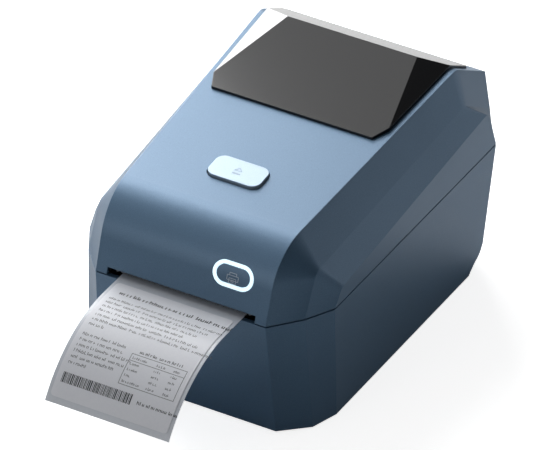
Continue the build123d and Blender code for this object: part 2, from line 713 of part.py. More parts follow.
def drive_gear(teeth, phase, place, bore):
    """Gear of the drive train on its axis, with a bore."""
    flat = Plane.YZ * gear_face(teeth, GEAR_MODULE, phase)
    wheel = Pos(GEAR_X[0], *place) * extrude(flat, GEAR_WIDTH, dir=(1, 0, 0))
    return wheel - bar(bore, (GEAR_X[0] - 1, GEAR_X[1] + 1), *place)


def platen_gear():
    """Gear on the left end of the platen shaft."""
    return drive_gear(PLATEN_TEETH, 0.0, PLATEN, SHAFT_RADIUS)


def idler_gear():
    """Idler between the motor pinion and the platen gear, with a lightened web."""
    gear = drive_gear(IDLER_TEETH, IDLER_PHASE, IDLER, IDLER_PIN + RUNNING)
    for index in range(5):
        y, z = away(IDLER, 6.2, 72 * index)
        gear -= bar(1.9, (GEAR_X[0] - 1, GEAR_X[1] + 1), y, z)
    return gear


def idler_pin():
    """Pin that carries the idler, riveted into the left side plate."""
    pin = bar(IDLER_PIN, (GEAR_X[0] - LOOSE, -FRAME_HALF + PLATE), *IDLER)
    collar = bar(IDLER_PIN + 1.4, (GEAR_X[1] + 0.3, -FRAME_HALF), *IDLER)
    washer = bar(IDLER_PIN + 1.4, (GEAR_X[0] - LOOSE - 0.8, GEAR_X[0] - LOOSE), *IDLER)
    return pin + collar + washer


def motor_pinion():
    """Pinion on the motor shaft."""
    gear = drive_gear(PINION_TEETH, PINION_PHASE, MOTOR, 0.5)
    return gear + bar(MOTOR_SHAFT, (GEAR_X[0], -FRAME_HALF + PLATE + 6), *MOTOR)


def stepper_motor():
    """Can of the motor, its mounting flange on the inside of the left side plate."""
    face = -FRAME_HALF + PLATE
    can = bar(MOTOR_RADIUS, (face, face + MOTOR_FLANGE + MOTOR_LENGTH), *MOTOR)
    y, z = MOTOR
    flange = block((face, face + MOTOR_FLANGE), (y - 18, y + 18), (z - 4, z + 4))
    return can + flange - bar(MOTOR_SHAFT + RUNNING, (face - 1, face + 7), *MOTOR)


# ================================================================ platen and printing frame
def platen_shaft():
    """Steel shaft of the platen."""
    return bar(SHAFT_RADIUS, (GEAR_X[0] - 0.5, FRAME_HALF + 1.5), *PLATEN)


def platen_roller():
    """Rubber sleeve of the platen."""
    x = (-PLATEN_HALF, PLATEN_HALF)
    return bar(PLATEN_RADIUS, x, *PLATEN) - bar(SHAFT_RADIUS, x, *PLATEN)


def platen_bearing(side):
    """Flanged bush in one side plate."""
    inner, outer = FRAME_HALF - PLATE, FRAME_HALF
    bush = bar(BEARING_RADIUS, (inner, outer), *PLATEN)
    bush += bar(BEARING_RADIUS + 1.2, (inner - 1, inner), *PLATEN)
    bush -= bar(SHAFT_RADIUS + RUNNING, (inner - 2, outer + 1), *PLATEN)
    return bush if side > 0 else mirror(bush, about=Plane.YZ)


def printing_frame():
    """Folded steel frame: floor, two side plates and the bar that carries the sensor."""
    y0, y1 = FRAME_Y
    z0, z1 = FRAME_Z
    cheek = [(y0, z0), (y1, z0), (y1, z1 + 2), (y1 - 8, z1 + 2)]
    cheek += [(KEEPER[0] + 3, z1), (y0 + 3, z1), (y0, z1 - 6)]
    plate = both(side_shape(cheek, (FRAME_HALF - PLATE, FRAME_HALF)))
    frame = plate + block((-FRAME_HALF, FRAME_HALF), (y0, y1), (z0, z0 + PLATE))
    frame += block((-FRAME_HALF, FRAME_HALF), (y1 - 7, y1), (z1 - 1, z1 + 1))
    frame -= both(bar(BEARING_RADIUS, (FRAME_HALF - PLATE - 1, FRAME_HALF + 1), *PLATEN))
    frame -= both(bar(KEEPER_RADIUS, (FRAME_HALF - PLATE - 1, FRAME_HALF + 1), *KEEPER))
    frame -= bar(IDLER_PIN, (-FRAME_HALF - 1, -FRAME_HALF + PLATE + 1), *IDLER)
    frame -= bar(pitch_radius(PINION_TEETH) + 0.5, (-FRAME_HALF - 1, -FRAME_HALF + PLATE), *MOTOR)
    for x, y in corners(*FRAME_SCREWS):
        frame -= post(SCREW_HOLE, x, y, (z0 - 1, z0 + PLATE + 1))
    return frame


def frame_screws():
    """Screws of the printing frame, down into the floor posts."""
    top = FRAME_Z[0] + PLATE
    return group([screw(x, y, top, 9, up=False) for x, y in corners(*FRAME_SCREWS)])


def keeper_pins():
    """Pins on the outside of the frame that the latch hooks catch."""
    pin = bar(KEEPER_RADIUS, (FRAME_HALF - PLATE, HOOK_X + HOOK_WIDTH), *KEEPER)
    return group([pin, mirror(pin, about=Plane.YZ)])


def gap_sensor():
    """Sensor under the label path, on the cross bar of the frame."""
    y = FRAME_Y[1] - 3.5
    top = web_height(y - 3) - 1.0
    body = block((-9, 9), (y - 3, y + 3), (FRAME_Z[1] + 1, top))
    return body - block((-2, 2), (y - 1.5, y + 1.5), (top - 1, top + 1))


# ================================================================ labels
def web_tangent():
    """Slope angle (radians) and length of the web from the platen top back to the roll."""
    along, up = ROLL[0] - PLATEN[0], ROLL[1] - WEB_BOTTOM
    distance = math.hypot(along, up)
    reach = ROLL_RADIUS + LOOSE
    slope = math.atan2(up, along) + math.asin(reach / distance)
    return slope, math.sqrt(distance ** 2 - reach ** 2)


def web_height(y):
    """Height of the underside of the web behind the platen."""
    return WEB_BOTTOM + (y - PLATEN[0]) * math.tan(web_tangent()[0])


def web_side(rise):
    """Line of the web from the roll to its free end, lifted off its underside by rise."""
    slope, length = web_tangent()
    level = WEB_BOTTOM + rise
    normal = (-rise * math.sin(slope), rise * math.cos(slope))
    roll_end = (
        PLATEN[0] + length * math.cos(slope) + normal[0],
        WEB_BOTTOM + length * math.sin(slope) + normal[1],
    )
    knee = (PLATEN[0] - rise * math.tan(slope / 2), level)
    bend = (-LABEL_STRAIGHT, level)
    curl = CenterArc((bend[0], WEB_BOTTOM - LABEL_CURL), LABEL_CURL + rise, 90, LABEL_TURN)
    return [Line(roll_end, knee), Line(knee, bend), curl]


def label_web():
    """Liner from the roll over the platen, out of the slot and down in its curl."""
    lower, upper = web_side(0), web_side(LINER_THICKNESS)
    ends = [Line(lower[0] @ 0, upper[0] @ 0), Line(lower[-1] @ 1, upper[-1] @ 1)]
    face = make_face([*lower, *upper, *ends])
    half = LINER_WIDTH / 2
    return extrude(Plane.YZ.offset(-half) * face, LINER_WIDTH, dir=(1, 0, 0))


def printed_label():
    """Label that still sits on the liner in front of the slot."""
    border = math.degrees(LABEL_BORDER / LABEL_CURL)
    centre = (-LABEL_STRAIGHT, WEB_BOTTOM - LABEL_CURL)
    low = LABEL_CURL + LINER_THICKNESS + FIT_GAP
    sides = []
    for radius in (low, low + LABEL_THICKNESS):
        start = (LABEL_START, centre[1] + radius)
        arc = CenterArc(centre, radius, 90, LABEL_TURN - border)
        sides.append([Line(start, arc @ 0), arc])
    lower, upper = sides
    ends = [Line(lower[0] @ 0, upper[0] @ 0), Line(lower[-1] @ 1, upper[-1] @ 1)]
    face = make_face([*lower, *upper, *ends])
    half = LABEL_WIDTH / 2
    label = extrude(Plane.YZ.offset(-half) * face, LABEL_WIDTH, dir=(1, 0, 0))
    return fillet(label.edges().filter_by(lambda edge: edge.length < 2 * LABEL_THICKNESS), LABEL_CORNER)


def label_roll():
    """Wound labels on the core."""
    x = (-LINER_WIDTH / 2, LINER_WIDTH / 2)
    return bar(ROLL_RADIUS, x, *ROLL) - bar(CORE_BORE + CORE_WALL, x, *ROLL)


def roll_core():
    """Cardboard core of the roll."""
    x = (-LINER_WIDTH / 2, LINER_WIDTH / 2)
    return bar(CORE_BORE + CORE_WALL, x, *ROLL) - bar(CORE_BORE, x, *ROLL)


# ================================================================ paper bay and guides
def paper_bay():
    """Open tray for the roll, with ears for its screws and the pin of the guide pinion."""
    tray = block((-BAY_X, BAY_X), BAY_Y, BAY_Z)
    inside = (BAY_Y[0] + BAY_WALL, BAY_Y[1] - BAY_WALL)
    tray -= block((-BAY_X + BAY_WALL, BAY_X - BAY_WALL), inside, (BAY_Z[0] + BAY_WALL, BAY_Z[1] + 1))
    tray += post(GUIDE_PIN, 0, ROLL[0], (BAY_Z[0], RACK_Z[1] + 0.2))
    for x, y in corners(*BAY_SCREWS):
        tray -= post(SCREW_HOLE, x, y, (BAY_Z[0] - 1, BAY_Z[0] + BAY_WALL + 1))
    return tray


def bay_screws():
    """Screws of the paper bay, down into the floor posts."""
    top = BAY_Z[0] + BAY_WALL
    return group([screw(x, y, top, 9, up=False) for x, y in corners(*BAY_SCREWS)])


def rack_outline(end):
    """Toothed bar of a guide in plan: teeth on the low side, from -RACK_REACH to the guide."""
    pitch = math.pi * RACK_MODULE
    low, high = RACK_RADIUS - 0.9 * RACK_MODULE, RACK_RADIUS + 1.2 * RACK_MODULE
    half = pitch / 4 - BACKLASH / 2
    slope = math.tan(math.radians(20)) * RACK_MODULE
    points = [(-RACK_REACH, RACK_RADIUS + RACK_BACK), (-RACK_REACH, high)]
    first = math.ceil((-RACK_REACH + pitch / 2) / pitch)
    for index in range(first, 7):
        middle = (index - 0.5) * pitch
        if middle - pitch / 2 < -RACK_REACH:
            continue
        points += [(middle - half - 1.2 * slope, high), (middle - half + 0.9 * slope, low)]
        points += [(middle + half - 0.9 * slope, low), (middle + half + 1.2 * slope, high)]
    return points + [(end, high), (end, RACK_RADIUS + RACK_BACK)]


def roll_guide(side):
    """Guide at one end of the roll: disc, hub in the core, column and rack."""
    inner = LINER_WIDTH / 2 + LOOSE
    outer = inner + GUIDE_THICKNESS
    y, z = ROLL
    guide = bar(GUIDE_RADIUS, (inner, outer), y, z)
    guide += block((inner, outer), (y - 15, y + 15), (RACK_Z[0], z))
    guide += bar(CORE_BORE - LOOSE, (inner - HUB_LENGTH, inner), y, z)
    guide -= bar(CORE_BORE - LOOSE - 3, (inner - HUB_LENGTH - 1, outer + 1), y, z)
    rack = make_face(Polyline(*rack_outline(outer), close=True))
    guide += Pos(0, y, RACK_Z[0]) * extrude(rack, RACK_HEIGHT)
    if side > 0:
        return guide
    return Pos(0, 2 * y, 0) * Rot(0, 0, 180) * guide


def guide_pinion():
    """Pinion between the two racks, on the pin of the paper bay."""
    wheel = extrude(gear_face(RACK_TEETH, RACK_MODULE, 90.0), RACK_HEIGHT)
    bore = post(GUIDE_PIN + RUNNING, 0, ROLL[0], (RACK_Z[0] - 1, RACK_Z[1] + 1))
    return Pos(0, ROLL[0], RACK_Z[0]) * wheel - bore


# ================================================================ board, ports and switch
def main_board():
    """Control board on its posts, with a few of its parts."""
    x = (-BOARD_HALF, BOARD_HALF)
    board = block(x, BOARD_Y, (BOARD_Z, PORT_BOTTOM))
    for px, py in board_screw_places():
        board -= post(SCREW_HOLE, px, py, (BOARD_Z - 1, PORT_BOTTOM + 1))
    for (cx, cy), (width, depth, height) in BOARD_PARTS:
        board += block((cx, cx + width), (cy, cy + depth), (PORT_BOTTOM, PORT_BOTTOM + height))
    return board


def board_screw_places():
    """(x, y) of the screws of the main board."""
    return [(side * x, y) for x, y in (BOARD_FRONT_SCREWS, BOARD_REAR_SCREWS) for side in (-1, 1)]


def board_screws():
    """Screws that hold the main board."""
    screws = [screw(x, y, PORT_BOTTOM, 4, up=False) for x, y in board_screw_places()]
    return group(screws)


def port_block(port, grow, length):
    """Block of a rear port, from the board through the rear wall."""
    x, width, height = port
    limits = (x - width / 2 - grow, x + width / 2 + grow)
    front = BOARD_Y[1] - 14
    rear = rear_y(PORT_BOTTOM + height / 2) + 0.3
    depth = (front, max(rear, front + length))
    return block(limits, depth, (PORT_BOTTOM - grow, PORT_BOTTOM + height + grow))


def usb_port():
    """Square data socket with its tongue."""
    x, width, height = USB
    body = port_block(USB, 0, 0)
    rear = body.bounding_box().max.Y
    middle = PORT_BOTTOM + height / 2
    cavity = block((x - 4.2, x + 4.2), (rear - 9, rear + 1), (middle - 3.9, middle + 3.9))
    tongue = block((x - 2.8, x + 2.8), (rear - 9, rear - 0.8), (middle - 1.6, middle + 1.6))
    return body - cavity + tongue


def power_jack():
    """Round power inlet with its centre pin."""
    x, width, height = JACK
    body = port_block(JACK, 0, 0)
    rear = body.bounding_box().max.Y
    middle = PORT_BOTTOM + height / 2
    bore = Pos(x, rear - 4.5, middle) * Rot(90, 0, 0) * Cylinder(2.85, 11)
    pin = Pos(x, rear - 6, middle) * Rot(90, 0, 0) * Cylinder(1.0, 9)
    return body - bore + pin


def rear_plane():
    """Local frame of the power switch on the rear wall: Y up the wall, Z out of it."""
    x, z = SWITCH
    lean = math.atan2(-FOOT_SHIFT[-1][1], SPLIT)
    return Plane(
        origin=(x, rear_y(z), z),
        x_dir=(-1, 0, 0),
        z_dir=(0, math.cos(lean), -math.sin(lean)),
    )


def switch_body():
    """Frame of the power switch, snapped into the rear wall."""
    width, height = SWITCH_SIZE
    radius, depth = ROCKER_PIVOT
    body = slab(width, height, SWITCH_CORNER, (-SWITCH_DEPTH, 0.1))
    body += slab(width + 2.4, height + 2.4, 1.0, (0.05, 1.2))
    body -= block(span(ROCKER_SIZE[0] + 2 * LOOSE), span(ROCKER_SIZE[1] + 4 * LOOSE), (-8, 2))
    body -= bar(radius + RUNNING, span(ROCKER_SIZE[0] + 2.2), 0, depth)
    return rear_plane().location * body


def power_rocker():
    """Rocker of the power switch, with its two pivot stubs."""
    high = ROCKER_SIZE[1] / 2
    outline = [(-high, 2.0), (0, 0.8), (high, 2.0), (high, -1.0), (2.0, -4.2), (-2.0, -4.2), (-high, -1.0)]
    rocker = side_shape(outline, span(ROCKER_SIZE[0]))
    radius, depth = ROCKER_PIVOT
    rocker += bar(radius, span(ROCKER_SIZE[0] + 1.8), 0, depth)
    return rear_plane().location * rocker


# ================================================================ assembly
def all_pieces():
    """Every node of the printer by name."""
    form = lid_form(0.0, SPLIT_GAP / 2)
    return {
        "base_housing": base_housing(),
        "bottom_plate": bottom_plate(),
        "bottom_screws": bottom_screws(),
        "rubber_feet": rubber_feet(),
        "hinge_pin_left": hinge_pin(-1),
        "hinge_pin_right": hinge_pin(1),
        "printing_frame": printing_frame(),
        "frame_screws": frame_screws(),
        "keeper_pins": keeper_pins(),
        "gap_sensor": gap_sensor(),
        "platen_shaft": platen_shaft(),
        "platen_roller": platen_roller(),
        "platen_bearing_left": platen_bearing(-1),
        "platen_bearing_right": platen_bearing(1),
        "platen_gear": platen_gear(),
        "idler_gear": idler_gear(),
        "idler_pin": idler_pin(),
        "motor_pinion": motor_pinion(),
        "stepper_motor": stepper_motor(),
        "paper_bay": paper_bay(),
        "bay_screws": bay_screws(),
        "guide_left": roll_guide(-1),
        "guide_right": roll_guide(1),
        "guide_pinion": guide_pinion(),
        "label_roll": label_roll(),
        "roll_core": roll_core(),
        "label_web": label_web(),
        "printed_label": printed_label(),
        "main_board": main_board(),
        "board_screws": board_screws(),
        "usb_port": usb_port(),
        "power_jack": power_jack(),
        "switch_body": switch_body(),
        "power_rocker": power_rocker(),
        "lid_housing": lid_housing(form),
        "window_panel": window_panel(),
        "tear_bar": tear_bar(),
        "lid_frame": lid_frame(),
        "lid_frame_screws": lid_frame_screws(),
        "latch_bar": latch_bar(),
        "latch_spring": latch_spring(),
        "open_button": open_button(form),
        "light_ring": light_ring(form),
        "feed_button": feed_button(form),
        "feed_switch": feed_switch(),
        "print_head": print_head(),
        "head_strip": head_strip(),
        "head_spring_left": head_spring(-1),
        "head_spring_right": head_spring(1),
    }


def home_place(pieces):
    """Move that puts the origin under the middle of the whole, on the surface it stands on."""
    boxes = [piece.bounding_box() for piece in pieces.values()]
    low = [min(tuple(box.min)[axis] for box in boxes) for axis in range(3)]
    high = [max(tuple(box.max)[axis] for box in boxes) for axis in range(3)]
    return Pos(-(low[0] + high[0]) / 2, -(low[1] + high[1]) / 2, -low[2])


def main():
    """Write every piece with the origin under the middle of the whole."""
    pieces = all_pieces()
    home = home_place(pieces)
    os.makedirs("parts", exist_ok=True)
    for name, piece in pieces.items():
        export_step(home * piece, f"parts/{name}.step")


if __name__ == "__main__":
    main()
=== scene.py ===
# %% [markdown]
# # Thermal label printer
#
# A desktop label printer: a faceted clamshell painted slate blue, with a smoked black window on the
# lid, a press-to-open button, a lit feed button on the front face and a label hanging out of its slot.
# The solids of the printer arrive as a finished frame. This lesson lights them, gives every part the
# finish of its real material, and adds the thin printed marks that no solid carries.

import math
import random

import bpy
from mathutils import Matrix, Vector


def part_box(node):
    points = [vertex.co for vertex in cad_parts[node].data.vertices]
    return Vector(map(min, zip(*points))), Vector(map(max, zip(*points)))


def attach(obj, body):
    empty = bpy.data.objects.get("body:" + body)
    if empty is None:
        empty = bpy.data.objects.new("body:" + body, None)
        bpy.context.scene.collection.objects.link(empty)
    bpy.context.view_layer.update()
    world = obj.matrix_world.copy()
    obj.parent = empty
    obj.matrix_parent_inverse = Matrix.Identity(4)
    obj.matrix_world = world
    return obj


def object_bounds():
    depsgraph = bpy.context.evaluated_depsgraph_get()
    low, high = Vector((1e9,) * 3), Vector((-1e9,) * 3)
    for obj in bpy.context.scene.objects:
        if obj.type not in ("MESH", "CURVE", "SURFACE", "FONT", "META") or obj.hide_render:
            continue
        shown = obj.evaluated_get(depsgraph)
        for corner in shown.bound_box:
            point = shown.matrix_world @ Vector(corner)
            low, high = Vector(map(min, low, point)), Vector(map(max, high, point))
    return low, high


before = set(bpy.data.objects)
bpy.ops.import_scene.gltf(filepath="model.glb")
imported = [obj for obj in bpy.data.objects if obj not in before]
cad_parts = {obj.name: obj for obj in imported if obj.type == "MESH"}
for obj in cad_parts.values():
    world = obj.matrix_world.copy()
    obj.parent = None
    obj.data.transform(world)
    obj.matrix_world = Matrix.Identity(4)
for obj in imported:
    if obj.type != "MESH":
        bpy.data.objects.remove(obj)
cad_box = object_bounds()
print("frame box", cad_box)

# %% [markdown]
# The whole scene works in metres, but printer makers think in millimetres, so one value converts.
# Depths are counted from the front edge of the base, where the label comes out, because that is
# the edge that camera and label both refer to.

# %% Sizes
MM = 0.001
low, high = (Vector(corner) for corner in cad_box)
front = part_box("base_housing")[0][1]
print("whole printer in mm", [round(side / MM, 1) for side in high - low])


def centre(node):
    """Middle of a solid's box."""
    lowest, highest = (Vector(corner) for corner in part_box(node))
    return (lowest + highest) / 2


# %% [markdown]
# ## Camera
#
# A long lens far away gives the flat, nearly parallel look of a product picture. The camera stands to
# the right of the front, a good third of a right angle above the desk, and looks at the middle of
# the housing, at half its height.

# %% Camera
scene = bpy.context.scene
target = Vector((4.2 * MM, front + 86.3 * MM, 60.9 * MM))
turn, climb = math.radians(29.8), math.radians(34.9)
sight = Vector((math.sin(turn) * math.cos(climb), -math.cos(turn) * math.cos(climb), math.sin(climb)))
camera_data = bpy.data.cameras.new("camera")
camera_data.lens = 525.5
camera_data.sensor_width = 36.0
camera_data.clip_end = 20.0
camera = bpy.data.objects.new("camera", camera_data)
camera.location = target + sight * 4.0
camera.rotation_euler = (-sight).to_track_quat("-Z", "Y").to_euler()
scene.collection.objects.link(camera)
scene.camera = camera
print("camera at", [round(value, 3) for value in camera.location])

# %% [markdown]
# ## Colours and nodes
#
# Paint and plastic colours are quoted as sRGB hex, as a designer picks them from a fan. Blender mixes
# light in linear values, so one function turns the hex into those. A second small function adds one
# shader node, with its settings and its links, because every finish below is a handful of nodes.


# %% Colour and node helpers
def colour(code):
    """Linear colour of an sRGB hex code."""
    parts = [int(code[place : place + 2], 16) / 255 for place in (1, 3, 5)]
    linear = [part / 12.92 if part <= 0.04045 else ((part + 0.055) / 1.055) ** 2.4 for part in parts]
    return (*linear, 1.0)


def add_node(tree, kind, settings=None, **inputs):
    """Add a shader node, set its properties, and set or link its inputs."""
    node = tree.nodes.new(kind)
    for name, value in (settings or {}).items():
        setattr(node, name, value)
    for name, value in inputs.items():
        key = int(name[1:]) if name[0] == "i" and name[1:].isdigit() else name.replace("_", " ")
        if isinstance(value, bpy.types.NodeSocket):
            tree.links.new(value, node.inputs[key])
        else:
            node.inputs[key].default_value = value
    return node


def new_material(name):
    """Empty node material with a principled shader, and the position on the object in metres."""
    material = bpy.data.materials.new(name)
    material.use_nodes = True
    tree = material.node_tree
    tree.nodes.clear()
    shader = add_node(tree, "ShaderNodeBsdfPrincipled")
    output = add_node(tree, "ShaderNodeOutputMaterial")
    tree.links.new(shader.outputs[0], output.inputs[0])
    place = add_node(tree, "ShaderNodeTexCoord").outputs["Object"]
    return material, tree, shader, place


def grain(tree, place, size, detail=2.0):
    """Noise whose lumps are about size millimetres across."""
    return add_node(tree, "ShaderNodeTexNoise", Vector=place, Scale=1.0 / (size * MM), Detail=detail)


def bumped(tree, shader, height, depth, edge=0.0):
    """Raise the surface by a height pattern, depth millimetres deep, over edges rounded by edge."""
    bump = add_node(tree, "ShaderNodeBump", Strength=1.0, Distance=depth * MM, Height=height)
    if edge:
        rounded = add_node(tree, "ShaderNodeBevel", {"samples": 6}, Radius=edge * MM)
        tree.links.new(rounded.outputs[0], bump.inputs["Normal"])
    tree.links.new(bump.outputs[0], shader.inputs["Normal"])


def finish(material, *nodes):
    """Give a material to solids of the frame."""
    for name in nodes:
        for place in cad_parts[name].material_slots:
            place.material = material
    print(material.name, "on", ", ".join(nodes))


# %% [markdown]
# ## Housing paint
#
# The housing is moulded ABS with a satin metallic paint: a slate blue with fine aluminium flake. The
# flake makes each facet change tone sharply with its slope, which is what makes the printer look
# folded from sheets. Two layers of noise do it: one at flake size moves the tone a little, and a
# broad faint one stands for the way sprayed paint settles. The moulded edges are rounded by
# half a millimetre, so a Bevel node softens the normal there and the edges catch a thin line of light.

# %% Housing paint


def metallic_paint(name, base, flake, metal, rough, edge=0.5):
    """Satin paint with fine flake over moulded plastic."""
    material, tree, shader, place = new_material(name)
    speck = grain(tree, place, 0.35)
    ramp = add_node(tree, "ShaderNodeMapRange", Value=speck.outputs["Fac"], i1=0.3, i2=0.7, i3=0.0, i4=1.0)
    tone = add_node(
        tree, "ShaderNodeMix", {"data_type": "RGBA"}, i0=ramp.outputs[0], i6=colour(base), i7=colour(flake)
    )
    tree.links.new(tone.outputs[2], shader.inputs["Base Color"])
    cloud = grain(tree, place, 60.0)
    sheen = add_node(
        tree, "ShaderNodeMapRange",
        Value=cloud.outputs["Fac"], i1=0.3, i2=0.7, i3=rough - 0.02, i4=rough + 0.02,
    )
    tree.links.new(sheen.outputs[0], shader.inputs["Roughness"])
    shader.inputs["Metallic"].default_value = metal
    shader.inputs["Coat Weight"].default_value = 0.25
    shader.inputs["Coat Roughness"].default_value = 0.3
    bumped(tree, shader, speck.outputs["Fac"], 0.006, edge)
    return material


housing_paint = metallic_paint("satin_slate_paint", "#456480", "#50708C", 0.35, 0.42)
finish(housing_paint, "lid_housing", "base_housing", "feed_button")
button_paint = metallic_paint("satin_silver_blue_paint", "#9DB2C6", "#ABBFD1", 0.3, 0.4, 0.4)
finish(button_paint, "open_button")

# %% [markdown]
# ## Smoked window
#
# The window is polished smoked acrylic, so dark that it reads as black. Its colour comes almost
# only from what it mirrors. A very faint broad waviness keeps the mirror from looking computed.

# %% Smoked window
smoked, tree, shader, place = new_material("smoked_acrylic")
shader.inputs["Base Color"].default_value = colour("#0C0D10")
shader.inputs["Roughness"].default_value = 0.12
shader.inputs["Coat Weight"].default_value = 0.4
shader.inputs["Coat Roughness"].default_value = 0.05
wave = grain(tree, place, 45.0, 1.0)
bumped(tree, shader, wave.outputs["Fac"], 0.02, 0.4)
finish(smoked, "window_panel")

# %% [markdown]
# ## Light guide
#
# The ring round the feed button is milky polycarbonate with lamps behind it. It glows evenly, a
# cold white, so emission carries most of it.

# %% Light guide
glow, tree, shader, place = new_material("lit_light_guide")
shader.inputs["Base Color"].default_value = colour("#DDF6FF")
shader.inputs["Roughness"].default_value = 0.3
haze = grain(tree, place, 4.0)
level = add_node(tree, "ShaderNodeMapRange", Value=haze.outputs["Fac"], i3=0.95, i4=1.1)
shader.inputs["Emission Color"].default_value = colour("#D6F3FF")
tree.links.new(level.outputs[0], shader.inputs["Emission Strength"])
finish(glow, "light_ring")

# %% [markdown]
# ## Moulded plastics
#
# The inside of the printer is plain moulded plastic: black ABS for the tray, plate and ports, grey
# for the roll guides and the tear bar, white acetal for the gears. Moulds are spark-eroded, which
# leaves a fine dull grain, so each plastic gets a small noise bump at about a third of a millimetre.


# %% Moulded plastics
def moulded(name, base, light, rough, size=0.6, depth=0.01, edge=0.25):
    """Moulded plastic with a spark-eroded grain."""
    material, tree, shader, place = new_material(name)
    grit = grain(tree, place, size)
    cloud = grain(tree, place, 25.0)
    tone = add_node(
        tree, "ShaderNodeMix", {"data_type": "RGBA"},
        i0=cloud.outputs["Fac"], i6=colour(base), i7=colour(light),
    )
    tree.links.new(tone.outputs[2], shader.inputs["Base Color"])
    spread = add_node(tree, "ShaderNodeMapRange", Value=grit.outputs["Fac"], i3=rough - 0.06, i4=rough + 0.06)
    tree.links.new(spread.outputs[0], shader.inputs["Roughness"])
    bumped(tree, shader, grit.outputs["Fac"], depth, edge)
    return material


black_plastic = moulded("black_moulded_abs", "#17191C", "#1E2125", 0.55)
finish(black_plastic, "bottom_plate", "paper_bay", "latch_bar", "gap_sensor", "power_jack", "switch_body")
rocker_plastic = moulded("black_polished_abs", "#101113", "#151719", 0.3, depth=0.002)
finish(rocker_plastic, "power_rocker")
grey_plastic = moulded("grey_moulded_abs", "#5B636C", "#666E77", 0.5)
finish(grey_plastic, "guide_left", "guide_right", "tear_bar")
gear_plastic = moulded("white_acetal", "#DAD9D2", "#E6E5DF", 0.35, depth=0.004)
finish(gear_plastic, "platen_gear", "idler_gear", "guide_pinion")
rubber = moulded("black_rubber", "#141414", "#1C1C1B", 0.8, size=0.4, depth=0.02)
finish(rubber, "rubber_feet", "platen_roller")

# %% [markdown]
# ## Metals
#
# Frame and plates are rolled steel sheet with a zinc finish: faint streaks along the rolling
# direction and slightly uneven brightness. Turned pins and shafts show rings instead, too fine to see,
# so they are left smooth. The heat sink is extruded aluminium, the bushes sintered bronze.


# %% Metals
def metal(name, base, rough, streak, edge=0.2):
    """Bare metal with streaks along X that repeat every streak millimetres."""
    material, tree, shader, place = new_material(name)
    along = add_node(
        tree, "ShaderNodeMapping", {"vector_type": "POINT"}, Vector=place, Scale=(0.04, 1.0, 1.0)
    )
    lines = grain(tree, along.outputs[0], streak, 3.0)
    spread = add_node(
        tree, "ShaderNodeMapRange", Value=lines.outputs["Fac"], i3=rough - 0.08, i4=rough + 0.08
    )
    tree.links.new(spread.outputs[0], shader.inputs["Roughness"])
    shader.inputs["Base Color"].default_value = colour(base)
    shader.inputs["Metallic"].default_value = 1.0
    bumped(tree, shader, lines.outputs["Fac"], 0.004, edge)
    return material


sheet_steel = metal("zinc_plated_sheet_steel", "#AEB2B5", 0.38, 0.5)
finish(sheet_steel, "printing_frame", "lid_frame", "stepper_motor", "usb_port")
turned_steel = metal("turned_steel", "#B9BABB", 0.25, 0.3)
finish(
    turned_steel,
    "hinge_pin_left", "hinge_pin_right", "keeper_pins", "idler_pin", "platen_shaft", "latch_spring",
    "head_spring_left", "head_spring_right",
)
screw_steel = metal("nickel_plated_screws", "#A7A8A6", 0.3, 0.3)
finish(screw_steel, "bottom_screws", "frame_screws", "bay_screws", "board_screws", "lid_frame_screws")
aluminium = metal("extruded_aluminium", "#C9CBCC", 0.32, 0.8)
finish(aluminium, "print_head")
bronze = metal("sintered_bronze", "#A8865A", 0.45, 0.4)
finish(bronze, "platen_bearing_left", "platen_bearing_right", "motor_pinion")

# %% [markdown]
# ## Boards and ceramic
#
# Circuit boards are glass cloth under green solder mask. The mask is glossy and slightly thick over
# the copper tracks, so a coarse grid of square noise shows through as tone. The heating strip
# of the print head is glazed ceramic.

# %% Boards and ceramic
mask, tree, shader, place = new_material("green_solder_mask")
tracks = add_node(
    tree, "ShaderNodeTexVoronoi", {"distance": "MANHATTAN", "feature": "F1"},
    Vector=place, Scale=1 / (3.0 * MM),
)
edges = add_node(tree, "ShaderNodeMapRange", Value=tracks.outputs["Distance"], i1=0.2, i2=0.5, i3=0.0, i4=1.0)
tone = add_node(
    tree, "ShaderNodeMix", {"data_type": "RGBA"},
    i0=edges.outputs[0], i6=colour("#1E5A3A"), i7=colour("#16452D"),
)
tree.links.new(tone.outputs[2], shader.inputs["Base Color"])
shader.inputs["Roughness"].default_value = 0.3
bumped(tree, shader, edges.outputs[0], 0.02)
finish(mask, "main_board", "feed_switch")

glazed = moulded("glazed_alumina", "#B9AE9C", "#C6BCAB", 0.15, depth=0.001)
finish(glazed, "head_strip")

# %% [markdown]
# ## Paper
#
# Thermal label paper is coated on one side: smooth, slightly cold white. The liner under it is
# siliconised glassine, greyer and glossier. Both show a soft fibre cloudiness held against light. The
# roll is the same paper wound hundreds of times, so its ends show fine rings round the roll's axis.


# %% Paper
def paper(name, base, shade, rough, coat):
    """Sheet paper with faint fibre clouds."""
    material, tree, shader, place = new_material(name)
    fibre = grain(tree, place, 1.2, 4.0)
    tone = add_node(
        tree, "ShaderNodeMix", {"data_type": "RGBA"},
        i0=fibre.outputs["Fac"], i6=colour(base), i7=colour(shade),
    )
    tree.links.new(tone.outputs[2], shader.inputs["Base Color"])
    shader.inputs["Roughness"].default_value = rough
    shader.inputs["Coat Weight"].default_value = coat
    bumped(tree, shader, fibre.outputs["Fac"], 0.004)
    return material


label_paper = paper("coated_label_paper", "#EEF0F6", "#E6E9F1", 0.5, 0.1)
finish(label_paper, "printed_label")
liner_paper = paper("glassine_liner", "#D9DEE6", "#CFD5DF", 0.35, 0.3)
finish(liner_paper, "label_web")


